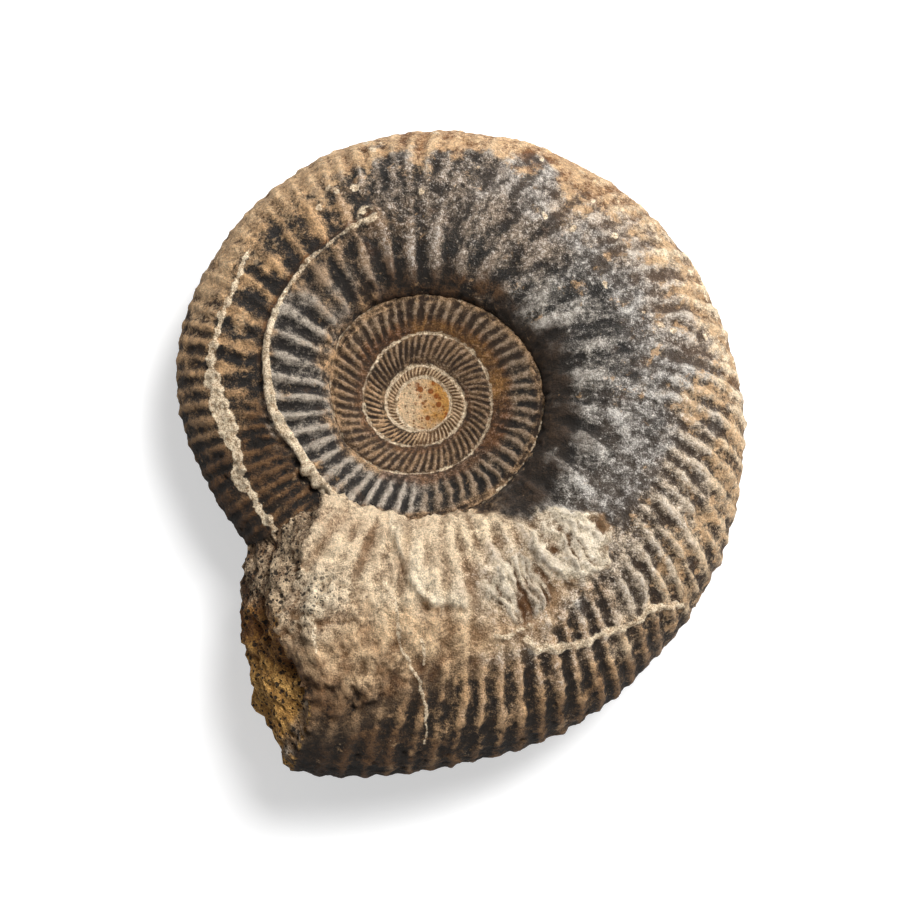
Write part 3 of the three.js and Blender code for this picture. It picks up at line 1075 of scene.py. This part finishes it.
def addFurrowAndCrest(tree, maps):
    # furrow tint in the hollows, crest tint on the highs: partly the stone's own colours, partly painted
    # shade and highlight; the grain pushes the colour either way
    push = addSum(tree, addMath(tree, "SUBTRACT", maps.fine, 0.5), 2.0, maps.relief)
    push = addSum(tree, addMath(tree, "SUBTRACT", maps.coarse, 0.5), 1.3, push)
    return addMix(tree, addRange(tree, push, 0.02, 1.0), maps.furrowTint, maps.crestTint)


def stainCrust(tree, maps, colour):
    colour = addMix(tree, addTimes(tree, maps.marks["stain"], 0.4), colour, rgba("rust"))
    crumbs = addTimes(tree, maps.marks["crustCrumbs"], addTimes(tree, maps.crusted, 0.35))
    return addMix(tree, crumbs, colour, rgba("umber"))


def addSpecks(tree, maps, colour):
    colour = addMix(tree, addTimes(tree, maps.marks["speck"], 0.7), colour, rgba("tan"))
    return addMix(tree, addTimes(tree, maps.marks["tinySpeck"], 0.4), colour, rgba("sand"))


def addPaintedGlints(tree, maps, colour):
    # painted highlights: bright, grainy glints on the rib crests of the dark shell
    glint = addRange(tree, addSum(tree, maps.relief, 0.13, maps.fine), 0.57, 0.7)
    glint = addTimes(tree, glint, addTimes(tree, maps.dark, 0.5))
    return addMix(tree, glint, colour, rgba("pearl"))


def addSediment(tree, maps, colour):
    # cream sediment in seams, along ridges and in cracks
    tint = addMix(tree, addRange(tree, maps.fine, 0.36, 0.58), rgba("tan"), rgba("cream"))
    return addMix(tree, addTimes(tree, maps.marks["lime"], 0.92), colour, tint)


def addCorePlug(tree, maps, colour):
    # the plug of rock in the core: cream, with rusty ooids
    warm = addRange(tree, addSum(tree, maps.coarse, 1.1, maps.core), 0.9, 1.5)
    plug = addMix(tree, warm, rgba("sand"), rgba("ochreDeep"))
    plug = addMix(tree, addTimes(tree, maps.marks["plugCrumbs"], 0.9), plug, rgba("rust"))
    ooid = addTimes(tree, maps.marks["ooid"], addRange(tree, maps.core, 0.4, 0.55))
    plug = addMix(tree, addTimes(tree, ooid, 0.95), plug, rgba("orange"))
    return addMix(tree, addRange(tree, maps.core, 0.0, 0.2), colour, plug)


def addGrains(tree, maps, colour):
    # light and dark grains all over
    contrast = addRange(tree, maps.fine, 0.36, 0.64, 0.52, 1.44, "LINEAR")
    mottled = addTimes(tree, contrast, addSum(tree, maps.coarse, 0.7, 0.65))
    grey = addNode(tree, "CombineColor")
    for socket in grey.inputs[:3]:
        plugIn(tree, mottled, socket)
    return addMix(tree, 1.0, colour, grey.outputs[0], "MULTIPLY")


def makeStone():
    stone = bpy.data.materials.new("ammoniteStone")
    stone.use_nodes = True
    tree = stone.node_tree
    tree.nodes.clear()
    shader = addNode(tree, "BsdfPrincipled")
    plugIn(tree, shader.outputs[0], addNode(tree, "OutputMaterial").inputs[0])
    maps = readMaps(tree)
    # pores in the broken rock, sunk by the bump and painted near black as shade in the holes
    hole = addMath(tree, "MAXIMUM", maps.marks["hole"], maps.marks["tinyHole"])
    hole = addTimes(tree, hole, maps.spongy)
    colour = addFurrowAndCrest(tree, maps)
    for marking in (stainCrust, addSpecks, addPaintedGlints, addSediment):
        colour = marking(tree, maps, colour)
    # painted shade in the pores
    colour = addMix(tree, addTimes(tree, hole, 0.92), colour, rgba("blackBrownAndShade"))
    colour = addGrains(tree, maps, addCorePlug(tree, maps, colour))
    plugIn(tree, colour, shader.inputs["Base Color"])
    # the dark shell keeps a dull polish, the crust has none
    rough = addSum(tree, maps.dark, -0.3, 0.84)
    rough = addSum(tree, addMath(tree, "SUBTRACT", maps.fine, 0.5), 0.5, rough)
    plugIn(tree, rough, shader.inputs["Roughness"])
    shader.inputs["Specular IOR Level"].default_value = 0.4
    bump = addNode(tree, "Bump")
    bump.inputs["Strength"].default_value = 0.9
    bump.inputs["Distance"].default_value = 1.4 * mm
    raised = addSum(tree, maps.fine, 0.9, addSum(tree, hole, -0.9, maps.height))
    plugIn(tree, raised, bump.inputs["Height"])
    plugIn(tree, bump.outputs[0], shader.inputs["Normal"])
    return stone


def buildAmmonite():
    skin = makeSkin()
    base = places(skin)
    shapeRelief(skin)
    skin = thin(skin)
    paint(skin, places(skin))
    layDown(skin, base)
    skin.polygons.foreach_set("use_smooth", [True] * len(skin.polygons))
    skin.name = "ammoniteStone"
    piece = addObject("ammoniteStone", skin)
    piece.data.materials.append(makeStone())
    return piece


studio = {
    "aim": (-0.0025, 0.0, 0.0207),
    "back": (-0.0256, -0.1260, 0.9917),  # from the aim to the camera
    "up": (-0.0058, 0.9920, 0.1259),
    "distance": 0.9,
    "frameWidth": 0.213,
    # azimuth, elevation, distance, size and power
    "lights": {"key": (50, 64, 1.1, 0.45, 17.0), "edge": (40, 16, 0.9, 0.3, 6.5)},
    "fill": 0.24,
    "floor": (0.6, 0.6, 0.6, 1),
    "glow": 0.5,
}


def makeCamera():
    back, up = Vector(studio["back"]).normalized(), Vector(studio["up"])
    right = up.cross(back).normalized()
    up = back.cross(right)
    camera = addObject("camera", bpy.data.cameras.new("camera"))
    turn = Matrix((right, up, back)).transposed().to_4x4()
    camera.matrix_world = Matrix.Translation(Vector(studio["aim"]) + back * studio["distance"]) @ turn
    camera.data.angle = 2 * math.atan(studio["frameWidth"] / 2 / studio["distance"])
    camera.data.clip_start = 0.01
    bpy.context.scene.camera = camera


def makeLight(name, azimuth, elevation, distance, size, power):
    light = addObject(name, bpy.data.lights.new(name, "AREA"))
    light.data.size = size
    light.data.energy = power
    a, e = math.radians(azimuth), math.radians(elevation)
    spot = Vector((math.cos(a) * math.cos(e), math.sin(a) * math.cos(e), math.sin(e)))
    light.location = spot * distance
    light.rotation_euler = (-spot).to_track_quat("-Z", "Y").to_euler()


def makeStudio():
    bm = bmesh.new()
    bmesh.ops.create_grid(bm, x_segments=1, y_segments=1, size=3)
    sheet = bpy.data.meshes.new("floor")
    bm.to_mesh(sheet)
    bm.free()
    floor = addObject("floor", sheet)
    # the floor glows a little where it is seen, so that the shadows on it stay light
    paper = bpy.data.materials.new("paleFloor")
    paper.use_nodes = True
    surface = paper.node_tree.nodes["Principled BSDF"]
    surface.inputs["Base Color"].default_value = studio["floor"]
    surface.inputs["Roughness"].default_value = 0.9
    surface.inputs["Emission Color"].default_value = (1, 1, 1, 1)
    path = addNode(paper.node_tree, "LightPath")
    glow = addTimes(paper.node_tree, path.outputs["Is Camera Ray"], studio["glow"])
    plugIn(paper.node_tree, glow, surface.inputs["Emission Strength"])
    floor.data.materials.append(paper)
    for name, values in studio["lights"].items():
        makeLight(name, *values)
    world = bpy.data.worlds.new("studio")
    bpy.context.scene.world = world
    world.use_nodes = True
    background = world.node_tree.nodes["Background"]
    background.inputs["Color"].default_value = (1, 1, 1, 1)
    # soft light all round, white where it is seen
    path = addNode(world.node_tree, "LightPath")
    seen = addSum(world.node_tree, path.outputs["Is Camera Ray"], 1 - studio["fill"], studio["fill"])
    plugIn(world.node_tree, seen, background.inputs["Strength"])
    bpy.context.scene.view_settings.view_transform = "Standard"


ammonite = buildAmmonite()
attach(ammonite, "root")
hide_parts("ammonite")
makeStudio()
makeCamera()
